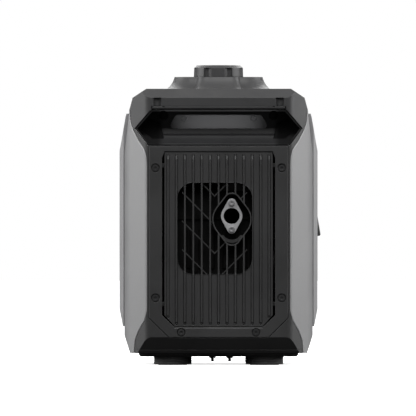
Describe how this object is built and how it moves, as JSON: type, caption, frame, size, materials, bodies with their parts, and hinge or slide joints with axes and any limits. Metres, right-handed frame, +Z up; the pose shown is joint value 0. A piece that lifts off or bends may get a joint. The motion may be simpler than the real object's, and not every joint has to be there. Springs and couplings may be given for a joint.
{
  "type": "portable generator",
  "caption": "Portable inverter generator in a closed casing, with a carry handle at each end, fuel cap on top, ribbed exhaust end, pull starter and control panel.",
  "frame": {"origin": "on the ground, under the middle of the machine", "axes": "+Z up, +Y from the exhaust end to the control end, +X towards the starter grip"},
  "size_m": [0.3043, 0.4972, 0.452],
  "materials": {
    "black_plastic": "fine grained moulding",
    "foot_rubber": "matte",
    "zinc_steel": "zinc plated",
    "drain_rubber": "matte",
    "grey_plastic": "satin moulded",
    "grey_plate": "satin moulded",
    "top_plastic": "fine grained moulding",
    "frame_plastic": "fine grained moulding",
    "grille_plastic": "fine grained moulding",
    "recess_plastic": "fine grained moulding",
    "grip_plastic": "satin moulded",
    "panel_plastic": "satin moulded",
    "black_screws": "black oxide",
    "cap_plastic": "satin moulded",
    "cap_insert_plastic": "moulded nylon",
    "strainer_plastic": "fine mesh",
    "tank_enamel": "satin enamel",
    "muffler_steel": "heat-proof black",
    "pipe_steel": "heat tinted",
    "flange_steel": "bead blasted",
    "mount_rubber": "matte",
    "cast_aluminium": "as cast",
    "bearing_steel": "ground",
    "ground_steel": "ground",
    "piston_aluminium": "machined",
    "painted_cover": "satin enamel",
    "plug_steel": "plated",
    "dipstick_plastic": "moulded",
    "carburettor_zinc": "die cast",
    "airbox_plastic": "moulded",
    "filter_foam": "open-cell foam",
    "rotor_steel": "pressed",
    "copper_winding": "enamelled copper",
    "fan_plastic": "moulded nylon",
    "shroud_plastic": "moulded nylon",
    "starter_enamel": "satin enamel",
    "pulley_plastic": "moulded nylon",
    "rope_fabric": "braided",
    "grip_rubber": "satin",
    "inverter_aluminium": "finned casting",
    "dial_plastic": "moulded",
    "rocker_plastic": "moulded",
    "button_plastic": "moulded",
    "outlet_plastic": "moulded",
    "flap_plastic": "moulded",
    "display_glass": "smoked window"
  },
  "bodies": {
    "housing": {"base_tray": "black_plastic", "feet": "foot_rubber", "foot_bolts": "zinc_steel", "drain_spouts": "drain_rubber", "left_side_panel": "grey_plastic", "right_side_panel": "grey_plastic", "door_hinge_pins": "zinc_steel", "right_outer_plate": "grey_plate", "top_cover": "top_plastic", "exhaust_end_cover": "black_plastic", "control_end_cover": "black_plastic", "exhaust_end_frame": "frame_plastic", "exhaust_grille": "grille_plastic", "handle_pockets": "recess_plastic", "handle_grips": "grip_plastic", "control_panel": "panel_plastic", "cover_screws": "black_screws", "filler_neck": "zinc_steel", "fuel_strainer": "strainer_plastic", "fuel_tank": "tank_enamel", "muffler": "muffler_steel", "exhaust_pipe": "pipe_steel", "outlet_flange": "flange_steel", "outlet_screws": "zinc_steel", "engine_mounts": "mount_rubber", "crankcase": "cast_aluminium", "crankcase_cover": "cast_aluminium", "crank_bearings": "bearing_steel", "crank_pin": "ground_steel", "connecting_rod": "cast_aluminium", "piston": "piston_aluminium", "piston_pin": "ground_steel", "cylinder": "cast_aluminium", "cylinder_head": "cast_aluminium", "valve_cover": "painted_cover", "spark_plug": "plug_steel", "oil_dipstick": "dipstick_plastic", "carburettor": "carburettor_zinc", "air_filter_box": "airbox_plastic", "air_filter_element": "filter_foam", "stator": "copper_winding", "fan_shroud": "shroud_plastic", "recoil_housing": "starter_enamel", "recoil_rope": "rope_fabric", "inverter_module": "inverter_aluminium", "ac_outlets": "outlet_plastic", "status_display": "display_glass"},
    "service_door": {"service_door": "grey_plate"},
    "cap_insert": {"fuel_cap_insert": "cap_insert_plastic"},
    "cap_shell": {"fuel_cap": "cap_plastic"},
    "starter_grip": {"recoil_grip": "grip_rubber"},
    "starter_pulley": {"recoil_pulley": "pulley_plastic"},
    "engine_rotor": {"crankshaft": "ground_steel", "generator_rotor": "rotor_steel", "cooling_fan": "fan_plastic"},
    "dial": {"control_dial": "dial_plastic"},
    "rocker": {"eco_rocker": "rocker_plastic"},
    "button": {"reset_button": "button_plastic"},
    "flap_left": {"outlet_flap_left": "flap_plastic"},
    "flap_right": {"outlet_flap_right": "flap_plastic"}
  },
  "joints": [
    {"name": "service_door_open", "type": "hinge", "parent": "housing", "child": "service_door", "pos_m": [-0.1453, 0.172, 0.2], "axis": [0, 0, -1], "range_deg": [0, 100]},
    {"name": "cap_lift", "type": "slide", "parent": "housing", "child": "cap_insert", "axis": [0, 0, 1], "range_m": [0, 0.05]},
    {"name": "cap_turn", "type": "hinge", "parent": "cap_insert", "child": "cap_shell", "pos_m": [0, -0.01, 0.44], "axis": [0, 0, 1], "range_deg": [0, 270]},
    {"name": "starter_pull", "type": "slide", "parent": "housing", "child": "starter_grip", "axis": [1, 0, 0], "range_m": [0, 0.55]},
    {"name": "starter_pulley_turn", "type": "hinge", "parent": "housing", "child": "starter_pulley", "pos_m": [0.12, 0.045, 0.15], "axis": [1, 0, 0], "range_deg": [0, 905]},
    {"name": "engine_turn", "type": "hinge", "parent": "housing", "child": "engine_rotor", "pos_m": [0, 0.045, 0.15], "axis": [1, 0, 0], "continuous": true},
    {"name": "dial_turn", "type": "hinge", "parent": "housing", "child": "dial", "pos_m": [-0.052, 0.242, 0.262], "axis": [0, 1, 0], "range_deg": [0, 120]},
    {"name": "eco_switch_rock", "type": "hinge", "parent": "housing", "child": "rocker", "pos_m": [0.03, 0.238, 0.214], "axis": [1, 0, 0], "range_deg": [-8, 8]},
    {"name": "reset_press", "type": "slide", "parent": "housing", "child": "button", "axis": [0, -1, 0], "range_m": [0, 0.003], "stiffness_N_per_m": 300},
    {"name": "outlet_flap_left_open", "type": "hinge", "parent": "housing", "child": "flap_left", "pos_m": [-0.044, 0.2454, 0.15], "axis": [1, 0, 0], "range_deg": [0, 110], "stiffness_Nm_per_rad": 0.02},
    {"name": "outlet_flap_right_open", "type": "hinge", "parent": "housing", "child": "flap_right", "pos_m": [0.044, 0.2454, 0.15], "axis": [1, 0, 0], "range_deg": [0, 110], "stiffness_Nm_per_rad": 0.02}
  ],
  "couplings": [
    {"joint": "starter_pulley_turn", "follows": "starter_pull", "rad_per_m": 28.571}
  ]
}
